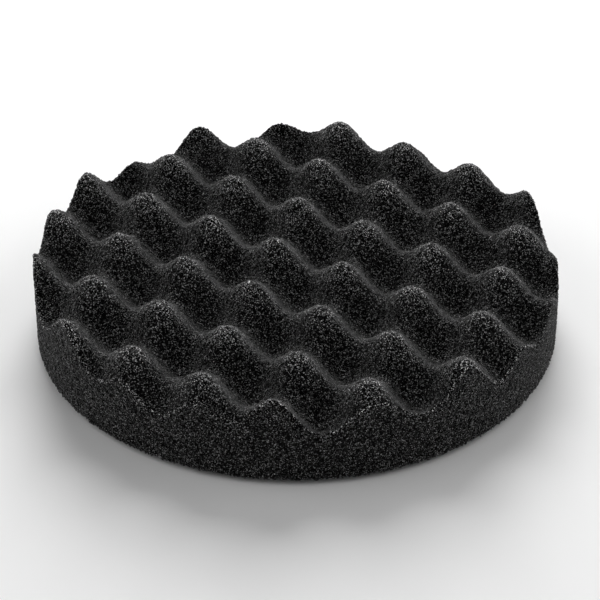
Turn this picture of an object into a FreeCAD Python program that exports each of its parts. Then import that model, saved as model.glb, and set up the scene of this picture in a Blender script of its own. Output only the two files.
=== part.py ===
import FreeCAD, Part
import math
import os

# A hook-and-loop polishing pad lying on its loop face, with the waffle face up.
# Origin: centre of the loop face, on the surface that the pad lies on. Units: mm.

# Driving dimensions
PAD_DIAMETER = 150.0
BACKING_INSET = 3.0  # the backing stops this far inside the foam's edge
FOAM_THICKNESS = 26.3  # from the foam's flat back to its crests
FILM_THICKNESS = 0.2
CLOTH_THICKNESS = 0.5
PILE_HEIGHT = 1.3

# The waffle face: round bumps in rows along X, each row staggered by half a pitch
ROW_PITCH = 27.3  # from bump to bump along a row
ROW_SPACING = 18.3  # from one row to the next
WAVE_DEPTH = 12.2  # from the crests down to the lowest hollows
BUMP_X = -4.7  # the bump nearest the centre: the disc is punched from a wide sheet,
BUMP_Y = 4.3  # so its centre falls anywhere among the bumps
ALONG_SHARE = 0.01  # shares of the waffle's second waves, which round its bumps
ACROSS_SHARE = 0.035
DIAGONAL_SHARE = 0.036
SAMPLES_PER_PITCH = 10
WALL_ARCS = 12  # the foam's wall is made in equal arcs, so that each meets only a wave or two of the face
BLANK_MARGIN = 1.3  # the uncut foam stands this far above the crests

# Worked out from the above
PAD_RADIUS = PAD_DIAMETER / 2
BACKING_RADIUS = PAD_RADIUS - BACKING_INSET
CLOTH_BOTTOM = PILE_HEIGHT
FILM_BOTTOM = CLOTH_BOTTOM + CLOTH_THICKNESS
FOAM_BOTTOM = FILM_BOTTOM + FILM_THICKNESS
FOAM_TOP = FOAM_BOTTOM + FOAM_THICKNESS


def disc(radius, bottom, height):
    return Part.makeCylinder(radius, height, FreeCAD.Vector(0, 0, bottom))


def rim_point(turn):
    """Point on the foam's lower rim, at a share of a full turn."""
    angle = 2 * math.pi * turn
    return FreeCAD.Vector(PAD_RADIUS * math.cos(angle), PAD_RADIUS * math.sin(angle), FOAM_BOTTOM)


def foam_blank():
    """Punched disc of foam, a little taller than the waffle's crests."""
    arcs = []
    for index in range(WALL_ARCS):
        ends = [rim_point((index + share) / WALL_ARCS) for share in (0, 0.5, 1)]
        arcs.append(Part.Arc(*ends).toShape())
    outline = Part.Face(Part.Wire(arcs))
    return outline.extrude(FreeCAD.Vector(0, 0, FOAM_THICKNESS + BLANK_MARGIN))


def waffle_height(x, y):
    """Height of the waffle face above the floor."""
    along = 2 * math.pi * (x - BUMP_X) / ROW_PITCH
    across = math.pi * (y - BUMP_Y) / ROW_SPACING
    wave = math.cos(along) * math.cos(across) - 1
    wave += ALONG_SHARE * (math.cos(2 * along) - 1)
    wave += ACROSS_SHARE * (math.cos(2 * across) - 1)
    wave += DIAGONAL_SHARE * (math.cos(2 * along) * math.cos(2 * across) - 1)
    return FOAM_TOP + WAVE_DEPTH / 2 * wave


def waffle_block():
    """Square block under the waffle face, larger than the pad on every side."""
    spacing = ROW_PITCH / SAMPLES_PER_PITCH
    reach = math.ceil(PAD_RADIUS / spacing) + 1
    stations = [index * spacing for index in range(-reach, reach + 1)]
    grid = [[FreeCAD.Vector(x, y, waffle_height(x, y)) for y in stations] for x in stations]
    surface = Part.BSplineSurface()
    surface.interpolate(grid)
    return surface.toShape().extrude(FreeCAD.Vector(0, 0, -FOAM_TOP))


def foam_pad():
    return foam_blank().common(waffle_block())


def adhesive_film():
    return disc(BACKING_RADIUS, FILM_BOTTOM, FILM_THICKNESS)


def backing_cloth():
    return disc(BACKING_RADIUS, CLOTH_BOTTOM, CLOTH_THICKNESS)


def loop_pile():
    return disc(BACKING_RADIUS, 0, PILE_HEIGHT)


os.makedirs("parts", exist_ok=True)
for make_part in (foam_pad, adhesive_film, backing_cloth, loop_pile):
    shape = make_part()
    name = make_part.__name__
    print(name, "valid", shape.isValid(), "solids", len(shape.Solids), "mm3", round(shape.Volume))
    shape.exportStep("parts/" + name + ".step")
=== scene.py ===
import math
import bpy
import numpy as np
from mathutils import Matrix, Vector


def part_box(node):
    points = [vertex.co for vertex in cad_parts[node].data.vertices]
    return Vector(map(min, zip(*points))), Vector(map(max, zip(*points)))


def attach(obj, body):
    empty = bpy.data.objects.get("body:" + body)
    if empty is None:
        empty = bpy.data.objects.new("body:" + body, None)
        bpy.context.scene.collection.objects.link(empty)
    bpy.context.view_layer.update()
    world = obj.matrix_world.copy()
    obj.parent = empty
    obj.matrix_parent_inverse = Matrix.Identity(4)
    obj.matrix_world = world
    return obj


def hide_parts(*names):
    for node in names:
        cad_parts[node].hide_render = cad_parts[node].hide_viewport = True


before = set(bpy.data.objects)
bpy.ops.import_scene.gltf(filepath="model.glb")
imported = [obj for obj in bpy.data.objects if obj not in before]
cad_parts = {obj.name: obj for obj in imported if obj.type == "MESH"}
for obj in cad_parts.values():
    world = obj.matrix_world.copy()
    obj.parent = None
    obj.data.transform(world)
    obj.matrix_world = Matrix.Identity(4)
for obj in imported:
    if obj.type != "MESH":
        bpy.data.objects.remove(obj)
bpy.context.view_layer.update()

MM = 0.001

# The frame's own sizes, metres
foam_low, foam_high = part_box("foam_pad")
cloth_low, cloth_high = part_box("backing_cloth")
pile_low, pile_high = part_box("loop_pile")
PAD_RADIUS = foam_high.x
FOAM_BOTTOM = foam_low.z
FOAM_TOP = foam_high.z
BACKING_RADIUS = pile_high.x

# The waffle face follows the CAD solid's formula
ROW_PITCH = 27.3 * MM  # from bump to bump along a row
ROW_SPACING = 18.3 * MM
WAVE_DEPTH = 12.2 * MM
BUMP_X = -4.7 * MM  # the place of one bump
BUMP_Y = 4.3 * MM
ALONG_SHARE = 0.01  # this and the next two: shares of waves that repeat twice as often
ACROSS_SHARE = 0.035
DIAGONAL_SHARE = 0.036

# The foam mesh
TOP_CELLS = 245  # along each side of the square grid that is pressed into the disc; odd, as disc_grid needs
WALL_ROWS = 31
RIM_ROWS = 4  # on the flat back, between the edge and the backing
INNER_RINGS = (0.7, 0.35)  # behind the backing, as shares of its radius
PORE_RELIEF = 0.15 * MM  # spread of the random relief
RELIEF_LIMIT = 2  # where the random relief is cut off, in spreads
EDGE_ROUNDING = 0.25 * MM
BOND_MARGIN = 1 * MM  # how far past the backing the flat back stays smooth
RANDOM_SEED = 11

# The foam's grain
STRUT_SPACING = 0.45 * MM
FLECK_SIZE = 0.22 * MM
FLECK_RARITY = 12.0  # the higher it is, the fewer struts are light
FLECK_GREY = 0.5
PORE_GREY = 0.001

# Painted light on the foam, as factors on its grain: painted shade in the hollows and at the wall's foot,
# painted highlights on the crests and the cut edge
HOLLOW_PAINTED_SHADE = 0.8
SLOPE_PAINTED_LIGHT = -0.55  # added in step with the rise from hollow to crest
CREST_PAINTED_HIGHLIGHT = 2.17  # painted highlight, added with the cube of that rise, so close to the crests
WALL_FOOT_PAINTED_SHADE = 0.83
WALL_RISE_PAINTED_LIGHT = 0.25  # added in step with the rise up the wall, leaving painted shade towards its foot
EDGE_PAINTED_HIGHLIGHT = 0.9  # painted highlight, added on a band along the cut edge as wide as the width below
HIGHLIGHT_EDGE_WIDTH = 0.5 * MM
RIM_PAINTED_HIGHLIGHT = 1.2  # painted highlight, added once more on the edge itself

# The knitted backing and its loops
CLOTH_CELLS = 201  # odd too
WALE_PITCH = 1.6 * MM
KNIT_RELIEF = 0.05 * MM
KNIT_LEVEL = 2  # the ribs' middle above the cloth's lower side, in reliefs
COURSE_SHARE = 0.5  # relief of the cross rows, as a share of the ribs'
CUT_WOBBLE = 0.15 * MM
LOOP_SPACING = 1.7 * MM
LOOP_SCATTER = 0.4  # the furthest that a loop stands off its place, in spacings
LOOP_WIDTH = 1.6 * MM
LOOP_WIDTHS = (0.7, 1.1)  # narrowest and widest, as shares of LOOP_WIDTH
LOOP_HEIGHTS = (0.82, 1.0)  # lowest and highest, as shares of the room for them
LOOP_TURN = 0.7  # spread of the loops' headings, radians
LOOP_LEAN = 0.5  # the most that a loop leans, sideways for each unit down
LOOP_BENDS = 6  # straight lengths that make up each arched loop
YARN_RADIUS = 0.16 * MM
YARN_SIDES = 3
FOOT_DEPTH = 0.2 * MM  # how far each loop's feet run up into the cloth

# The grain of the backing's materials
WAVE_BANDS = 3  # about as many as a Wave texture draws in one unit of its scale
FUZZ_SIZE = 0.3 * MM
FILAMENT_SIZE = 0.12 * MM
PATCH_SIZE = 6 * MM
WETTING_SIZE = 2 * MM
KNIT_BUMP = 0.1 * MM
FILAMENT_BUMP = 0.05 * MM
WETTING_BUMP = 0.03 * MM

# The camera, set to the photograph's view of the pad
CAMERA_AZIMUTH = math.radians(-20.1)
CAMERA_ELEVATION = math.radians(34.7)
CAMERA_ROLL = math.radians(-0.25)
CAMERA_DISTANCE = 0.771
CAMERA_TARGET = Vector((0.9 * MM, -0.3 * MM, FOAM_BOTTOM + 7.3 * MM))
CAMERA_LENS = 158.9  # these two are in millimetres, as Blender has them
SENSOR_WIDTH = 36

# The studio: soft round boxes, placed by their angles from the camera
BOX_DISTANCE = 1.6
BOX_SIZE = 1.2
TOP_BOX_DISTANCE = 3.0
TOP_BOX_SIZE = 2.0
WORLD_STRENGTH = 0.05
FLOOR_REACH = 3.0


# ---------------------------------------------------------------- mesh helpers

def set_painted_light(piece, painted_light):
    """Stores the painted light and shade at each point of the piece, for its material to read."""
    attribute = piece.data.attributes.new("painted_light", "FLOAT", "POINT")
    attribute.data.foreach_set("value", painted_light.astype(np.float32))


def new_piece(name, points, faces, material):
    """A smooth-shaded object of one mesh and one material."""
    mesh = bpy.data.meshes.new(name)
    mesh.from_pydata(points.tolist(), [], faces)
    mesh.polygons.foreach_set("use_smooth", [True] * len(mesh.polygons))
    mesh.materials.append(material)
    mesh.update()
    piece = bpy.data.objects.new(name, mesh)
    bpy.context.scene.collection.objects.link(piece)
    return piece


def disc_grid(cells):
    """A square grid pressed into the unit disc: its points, their numbers and the rim's in order.

    The number of cells is odd, because a point on the centre would have no angle.
    """
    side = np.linspace(-1, 1, cells + 1)
    a, b = np.meshgrid(side, side, indexing="ij")
    wide = np.abs(a) > np.abs(b)
    radius = np.where(wide, a, b)
    angle = np.where(wide, math.pi / 4 * b / a, math.pi / 2 - math.pi / 4 * a / b)
    number = np.arange((cells + 1) ** 2).reshape(cells + 1, cells + 1)
    rim = np.concatenate([number[:, 0], number[-1, 1:], number[-2::-1, -1], number[0, -2:0:-1]])
    points = np.stack([radius * np.cos(angle), radius * np.sin(angle)], axis=-1)
    return points.reshape(-1, 2), number, rim


def grid_faces(number):
    """Quads of a grid of point numbers; they face up, or down for the transposed grid."""
    corners = [number[:-1, :-1], number[1:, :-1], number[1:, 1:], number[:-1, 1:]]
    return np.stack(corners, axis=-1).reshape(-1, 4).tolist()


def band_faces(upper, lower):
    """Quads between two rings that run the same way round; they face outwards from a wall."""
    return np.stack([upper, lower, np.roll(lower, -1), np.roll(upper, -1)], axis=-1).tolist()


# ---------------------------------------------------------------- foam

def waffle_height(x, y):
    """Height of the waffle face: staggered rows of round bumps."""
    along = 2 * math.pi * (x - BUMP_X) / ROW_PITCH
    across = math.pi * (y - BUMP_Y) / ROW_SPACING
    wave = np.cos(along) * np.cos(across) - 1
    wave += ALONG_SHARE * (np.cos(2 * along) - 1)
    wave += ACROSS_SHARE * (np.cos(2 * across) - 1)
    wave += DIAGONAL_SHARE * (np.cos(2 * along) * np.cos(2 * across) - 1)
    return FOAM_TOP + WAVE_DEPTH / 2 * wave


def foam_rings(top_edge):
    """Rings of points down the wall, across the back's rim and in towards the centre."""
    rings = []
    flat = top_edge[:, :2]
    for row in range(1, WALL_ROWS + 1):
        share = row / WALL_ROWS
        height = top_edge[:, 2] + (FOAM_BOTTOM - top_edge[:, 2]) * share
        rings.append(np.column_stack([flat, height]))
    rim_width = PAD_RADIUS - BACKING_RADIUS
    radii = [PAD_RADIUS - rim_width * row / RIM_ROWS for row in range(1, RIM_ROWS + 1)]
    radii += [BACKING_RADIUS * share for share in INNER_RINGS]
    for radius in radii:
        rings.append(np.column_stack([flat * radius / PAD_RADIUS, np.full(len(flat), FOAM_BOTTOM)]))
    return rings


def foam_mesh():
    """Closed foam disc: waffle face, wall and flat back. Also gives the point numbers of its edge."""
    disc, number, rim = disc_grid(TOP_CELLS)
    disc = disc * PAD_RADIUS
    top = np.column_stack([disc, waffle_height(disc[:, 0], disc[:, 1])])
    rings = foam_rings(top[rim])
    points = np.concatenate([top, *rings, [[0, 0, FOAM_BOTTOM]]])
    faces = grid_faces(number)
    upper = rim
    first = len(top)
    for ring in rings:
        lower = np.arange(first, first + len(ring))
        faces += band_faces(upper, lower)
        upper = lower
        first += len(ring)
    centre = len(points) - 1
    faces += np.stack([upper, np.full(len(upper), centre), np.roll(upper, -1)], axis=-1).tolist()
    return points, faces, rim


def roughen(piece, rim):
    """Opens the skin: each point of the foam's outside moves along its normal by its own amount."""
    mesh = piece.data
    points = np.zeros(len(mesh.vertices) * 3)
    normals = np.zeros(len(mesh.vertices) * 3)
    mesh.vertices.foreach_get("co", points)
    mesh.vertices.foreach_get("normal", normals)
    points = points.reshape(-1, 3)
    normals = normals.reshape(-1, 3)
    draw = np.random.default_rng(RANDOM_SEED)
    relief = draw.normal(0, 1, len(points)).clip(-RELIEF_LIMIT, RELIEF_LIMIT) * PORE_RELIEF
    relief[rim] -= EDGE_ROUNDING
    over_backing = np.hypot(points[:, 0], points[:, 1]) < BACKING_RADIUS + BOND_MARGIN
    on_back = points[:, 2] < FOAM_BOTTOM + BOND_MARGIN
    relief[over_backing & on_back] = 0
    points += normals * relief[:, None]
    mesh.vertices.foreach_set("co", points.ravel())
    mesh.update()


def foam_painted_light(points, rim):
    """Painted light on the foam: painted highlights on the crests and along the cut edge, painted shade in
    the hollows and towards the wall's foot.
    """
    face_points = (TOP_CELLS + 1) ** 2
    # Painted shade in the hollows and painted highlights on the crests, set by the rise
    rise = (1 - (FOAM_TOP - points[:, 2]) / WAVE_DEPTH).clip(0, 1)
    painted_light = HOLLOW_PAINTED_SHADE + SLOPE_PAINTED_LIGHT * rise + CREST_PAINTED_HIGHLIGHT * rise ** 3
    up_the_wall = (points[face_points:, 2] - FOAM_BOTTOM) / (FOAM_TOP - FOAM_BOTTOM)
    # Painted shade towards the wall's foot, lighter up the wall
    painted_light[face_points:] = WALL_FOOT_PAINTED_SHADE + WALL_RISE_PAINTED_LIGHT * up_the_wall
    # Painted highlight along the cut edge, and once more on the edge itself
    edge_highlight = np.hypot(points[:, 0], points[:, 1]) > PAD_RADIUS - HIGHLIGHT_EDGE_WIDTH
    edge_highlight[face_points + len(rim):] = False
    painted_light[edge_highlight] += EDGE_PAINTED_HIGHLIGHT
    painted_light[rim] += RIM_PAINTED_HIGHLIGHT
    return painted_light


def make_foam():
    points, faces, rim = foam_mesh()
    piece = new_piece("waffle_foam", points, faces, foam_material())
    roughen(piece, rim)
    set_painted_light(piece, foam_painted_light(points, rim))
    return piece


# ---------------------------------------------------------------- backing

def knit_mesh():
    """Closed round of loop cloth: flat where it is bonded, ribbed by the knit on its other side."""
    draw = np.random.default_rng(RANDOM_SEED + 1)
    disc, number, rim = disc_grid(CLOTH_CELLS)
    disc = disc * (BACKING_RADIUS - CUT_WOBBLE)
    disc[rim] *= 1 + draw.uniform(-1, 1, (len(rim), 1)) * CUT_WOBBLE / BACKING_RADIUS
    wale = np.cos(2 * math.pi * disc[:, 0] / WALE_PITCH)
    course = np.cos(2 * math.pi * disc[:, 1] / WALE_PITCH)
    bottom = cloth_low.z + KNIT_RELIEF * (KNIT_LEVEL + wale + course * COURSE_SHARE)
    bottom[rim] = cloth_low.z + KNIT_RELIEF
    upper = np.column_stack([disc, np.full(len(disc), cloth_high.z)])
    lower = np.column_stack([disc, bottom])
    faces = grid_faces(number)
    faces += grid_faces(number.T + len(disc))
    faces += band_faces(rim, rim + len(disc))
    return np.concatenate([upper, lower]), faces


def make_cloth():
    points, faces = knit_mesh()
    return new_piece("loop_cloth", points, faces, cloth_material())


def loop_feet():
    """Places of the loops, each a little off its place in the rows, and the draws' generator."""
    draw = np.random.default_rng(RANDOM_SEED + 2)
    reach = BACKING_RADIUS - LOOP_WIDTH
    side = np.arange(-reach, reach, LOOP_SPACING)
    x, y = [axis.ravel() for axis in np.meshgrid(side, side)]
    x = x + draw.uniform(-LOOP_SCATTER, LOOP_SCATTER, len(x)) * LOOP_SPACING
    y = y + draw.uniform(-LOOP_SCATTER, LOOP_SCATTER, len(y)) * LOOP_SPACING
    inside = np.hypot(x, y) < reach
    return x[inside], y[inside], draw


def pile_mesh():
    """Arched loops of yarn, feet in the cloth and tops down on the surface that the pad lies on.

    The arrays run over the loops, the bends along each loop and the sides of its yarn.
    """
    x, y, draw = loop_feet()
    count = len(x)
    foot_z = pile_high.z + FOOT_DEPTH
    room = foot_z - pile_low.z - YARN_RADIUS
    heading = draw.normal(0, LOOP_TURN, count)[:, None, None]
    lean = draw.uniform(-LOOP_LEAN, LOOP_LEAN, count)[:, None, None]
    height = room * draw.uniform(*LOOP_HEIGHTS, count)[:, None, None]
    half_width = LOOP_WIDTH / 2 * draw.uniform(*LOOP_WIDTHS, count)[:, None, None]
    bend = np.linspace(0, math.pi, LOOP_BENDS + 1)[None, :, None]
    turn = 2 * math.pi * np.arange(YARN_SIDES)[None, None, :] / YARN_SIDES
    outward = YARN_RADIUS * np.cos(turn)
    sideways = YARN_RADIUS * np.sin(turn)
    along = (half_width + outward) * np.cos(bend)
    down = (height + outward) * np.sin(bend)
    across = sideways + lean * down
    points_x = x[:, None, None] + along * np.cos(heading) - across * np.sin(heading)
    points_y = y[:, None, None] + along * np.sin(heading) + across * np.cos(heading)
    points = np.stack(np.broadcast_arrays(points_x, points_y, foot_z - down), axis=-1)
    number = np.arange(points[..., 0].size).reshape(points.shape[:3])
    near, far = number[:, :-1], number[:, 1:]
    quads = np.stack([near, far, np.roll(far, -1, axis=2), np.roll(near, -1, axis=2)], axis=-1)
    return points.reshape(-1, 3), quads.reshape(-1, 4).tolist()


def make_pile():
    points, faces = pile_mesh()
    return new_piece("yarn_loops", points, faces, yarn_material())


# ---------------------------------------------------------------- materials

def new_material(name):
    """A material with its nodes, its links and its Principled shader."""
    material = bpy.data.materials.new(name)
    material.use_nodes = True
    nodes = material.node_tree.nodes
    return material, nodes, material.node_tree.links, nodes["Principled BSDF"]


def add(nodes, kind, **settings):
    """A shader node of a kind, with its settings."""
    node = nodes.new("ShaderNode" + kind)
    for key, value in settings.items():
        setattr(node, key, value)
    return node


def ramp(nodes, links, source, *stops):
    """Colour ramp between two greys, each stop a place and a value."""
    node = add(nodes, "ValToRGB")
    for element, (place, value) in zip(node.color_ramp.elements, stops):
        element.position = place
        element.color = (value, value, value, 1)
    links.new(source, node.inputs["Fac"])
    return node.outputs["Color"]


def calculate(nodes, links, operation, *values):
    """A Math node on outputs and plain numbers."""
    node = add(nodes, "Math", operation=operation)
    for socket, value in zip(node.inputs, values):
        if isinstance(value, (int, float)):
            socket.default_value = value
        else:
            links.new(value, socket)
    return node.outputs[0]


def noise(nodes, links, place, size):
    """Noise whose lumps are about a size across."""
    node = add(nodes, "TexNoise")
    node.inputs["Scale"].default_value = 1 / size
    links.new(place, node.inputs["Vector"])
    return node.outputs["Fac"]


def add_bump(nodes, links, shader, height, distance):
    bump = add(nodes, "Bump")
    bump.inputs["Distance"].default_value = distance
    links.new(height, bump.inputs["Height"])
    links.new(bump.outputs["Normal"], shader.inputs["Normal"])


def foam_material():
    """Black reticulated foam: dark pores, and here and there a strut that catches the light."""
    material, nodes, links, shader = new_material("open_cell_foam")
    place = add(nodes, "TexCoord").outputs["Object"]
    flecks = add(nodes, "TexVoronoi", feature="F1")
    flecks.inputs["Scale"].default_value = 1 / FLECK_SIZE
    links.new(place, flecks.inputs["Vector"])
    chance = add(nodes, "SeparateColor")
    links.new(flecks.outputs["Color"], chance.inputs["Color"])
    luck = calculate(nodes, links, "POWER", chance.outputs["Red"], FLECK_RARITY)
    grey = calculate(nodes, links, "MULTIPLY_ADD", luck, FLECK_GREY, PORE_GREY)
    # The base colour carries painted light: the grain times the painted highlights and painted shade
    painted_light = add(nodes, "Attribute", attribute_name="painted_light")
    grey_and_painted_light = calculate(nodes, links, "MULTIPLY", grey, painted_light.outputs["Fac"])
    links.new(grey_and_painted_light, shader.inputs["Base Color"])
    add_bump(nodes, links, shader, noise(nodes, links, place, STRUT_SPACING), STRUT_SPACING)
    shader.inputs["Roughness"].default_value = 0.8
    shader.inputs["Specular IOR Level"].default_value = 0.0
    shader.inputs["Sheen Weight"].default_value = 0.5
    shader.inputs["Sheen Roughness"].default_value = 0.3
    shader.inputs["Sheen Tint"].default_value = (0.5, 0.5, 0.5, 1)
    return material


def cloth_material():
    """Charcoal warp knit: a fine rib, a little lighter where the yarn stands up."""
    material, nodes, links, shader = new_material("loop_knit")
    place = add(nodes, "TexCoord").outputs["Object"]
    rib = add(nodes, "TexWave", wave_type="BANDS", bands_direction="X")
    rib.inputs["Scale"].default_value = 1 / (WALE_PITCH * WAVE_BANDS)
    rib.inputs["Distortion"].default_value = 1.5
    links.new(place, rib.inputs["Vector"])
    fuzz = noise(nodes, links, place, FUZZ_SIZE)
    yarn = calculate(nodes, links, "MULTIPLY", rib.outputs["Fac"], fuzz)
    links.new(ramp(nodes, links, yarn, (0.1, 0.008), (0.6, 0.02)), shader.inputs["Base Color"])
    add_bump(nodes, links, shader, yarn, KNIT_BUMP)
    shader.inputs["Roughness"].default_value = 0.9
    shader.inputs["Specular IOR Level"].default_value = 0.2
    shader.inputs["Sheen Weight"].default_value = 0.2
    return material


def yarn_material():
    """Black nylon yarn: dull between the fine glints of its filaments."""
    material, nodes, links, shader = new_material("nylon_yarn")
    place = add(nodes, "TexCoord").outputs["Object"]
    filaments = noise(nodes, links, place, FILAMENT_SIZE)
    patches = noise(nodes, links, place, PATCH_SIZE)
    shade = calculate(nodes, links, "MULTIPLY", filaments, patches)
    links.new(ramp(nodes, links, shade, (0.12, 0.02), (0.45, 0.12)), shader.inputs["Base Color"])
    add_bump(nodes, links, shader, filaments, FILAMENT_BUMP)
    shader.inputs["Roughness"].default_value = 0.6
    shader.inputs["Sheen Weight"].default_value = 0.15
    return material


def film_material():
    """Dark adhesive film, uneven where it has wetted the foam."""
    material, nodes, links, shader = new_material("adhesive_film")
    place = add(nodes, "TexCoord").outputs["Object"]
    wetting = noise(nodes, links, place, WETTING_SIZE)
    links.new(ramp(nodes, links, wetting, (0.35, 0.01), (0.65, 0.035)), shader.inputs["Base Color"])
    gloss = ramp(nodes, links, wetting, (0.35, 0.35), (0.65, 0.6))
    links.new(gloss, shader.inputs["Roughness"])
    add_bump(nodes, links, shader, wetting, WETTING_BUMP)
    return material


def floor_material():
    material, _, _, shader = new_material("pale_floor")
    shader.inputs["Base Color"].default_value = (0.9, 0.9, 0.9, 1)
    shader.inputs["Roughness"].default_value = 0.9
    return material


# ---------------------------------------------------------------- stage

def direction(azimuth, elevation):
    """Unit vector from the pad towards a place given as the camera's angles are."""
    flat = math.cos(elevation)
    return Vector((math.sin(azimuth) * flat, -math.cos(azimuth) * flat, math.sin(elevation)))


def make_camera():
    data = bpy.data.cameras.new("camera")
    data.lens = CAMERA_LENS
    data.sensor_width = SENSOR_WIDTH
    camera = bpy.data.objects.new("camera", data)
    base = Vector((0, 0, FOAM_BOTTOM))
    camera.location = base + direction(CAMERA_AZIMUTH, CAMERA_ELEVATION) * CAMERA_DISTANCE
    look = (CAMERA_TARGET - camera.location).to_track_quat("-Z", "Y").to_euler()
    look.rotate_axis("Z", CAMERA_ROLL)
    camera.rotation_euler = look
    bpy.context.scene.collection.objects.link(camera)
    bpy.context.scene.camera = camera


def make_light(name, azimuth, elevation, watts, distance=BOX_DISTANCE, size=BOX_SIZE):
    """A soft box that faces the pad. Its angles are in degrees, the azimuth from the camera's."""
    data = bpy.data.lights.new(name, "AREA")
    data.shape = "DISK"
    data.size = size
    data.energy = watts
    light = bpy.data.objects.new(name, data)
    place = direction(CAMERA_AZIMUTH + math.radians(azimuth), math.radians(elevation))
    light.location = place * distance
    light.rotation_euler = (-place).to_track_quat("-Z", "Y").to_euler()
    bpy.context.scene.collection.objects.link(light)


def make_floor():
    reach = FLOOR_REACH
    points = np.array([[-reach, -reach, 0], [reach, -reach, 0], [reach, reach, 0], [-reach, reach, 0]])
    floor = new_piece("floor", points, [(0, 1, 2, 3)], floor_material())


def make_world():
    world = bpy.data.worlds.new("studio")
    world.use_nodes = True
    background = world.node_tree.nodes["Background"]
    background.inputs["Color"].default_value = (1, 1, 1, 1)
    background.inputs["Strength"].default_value = WORLD_STRENGTH
    bpy.context.scene.world = world


# ---------------------------------------------------------------- the scene

foam = make_foam()
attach(foam, "root")
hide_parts("foam_pad")

loops = make_pile()
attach(loops, "root")
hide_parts("loop_pile")

cloth = make_cloth()
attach(cloth, "root")
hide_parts("backing_cloth")

film = bpy.data.objects["adhesive_film"]
for slot in film.material_slots:
    slot.material = film_material()

make_floor()
make_world()
make_camera()
make_light("back_box", 180, 38, 19)
make_light("low_back_box", 180, 12, 26)
make_light("right_back_box", 135, 20, 6)
make_light("right_box", 90, 38, 4.5)
make_light("left_box", -90, 38, 4.5)
make_light("left_front_box", -45, 38, 3)
make_light("right_front_box", 45, 38, 2.5)
make_light("front_top_box", 0, 62, 3, TOP_BOX_DISTANCE, TOP_BOX_SIZE)
bpy.context.scene.view_settings.view_transform = "Standard"
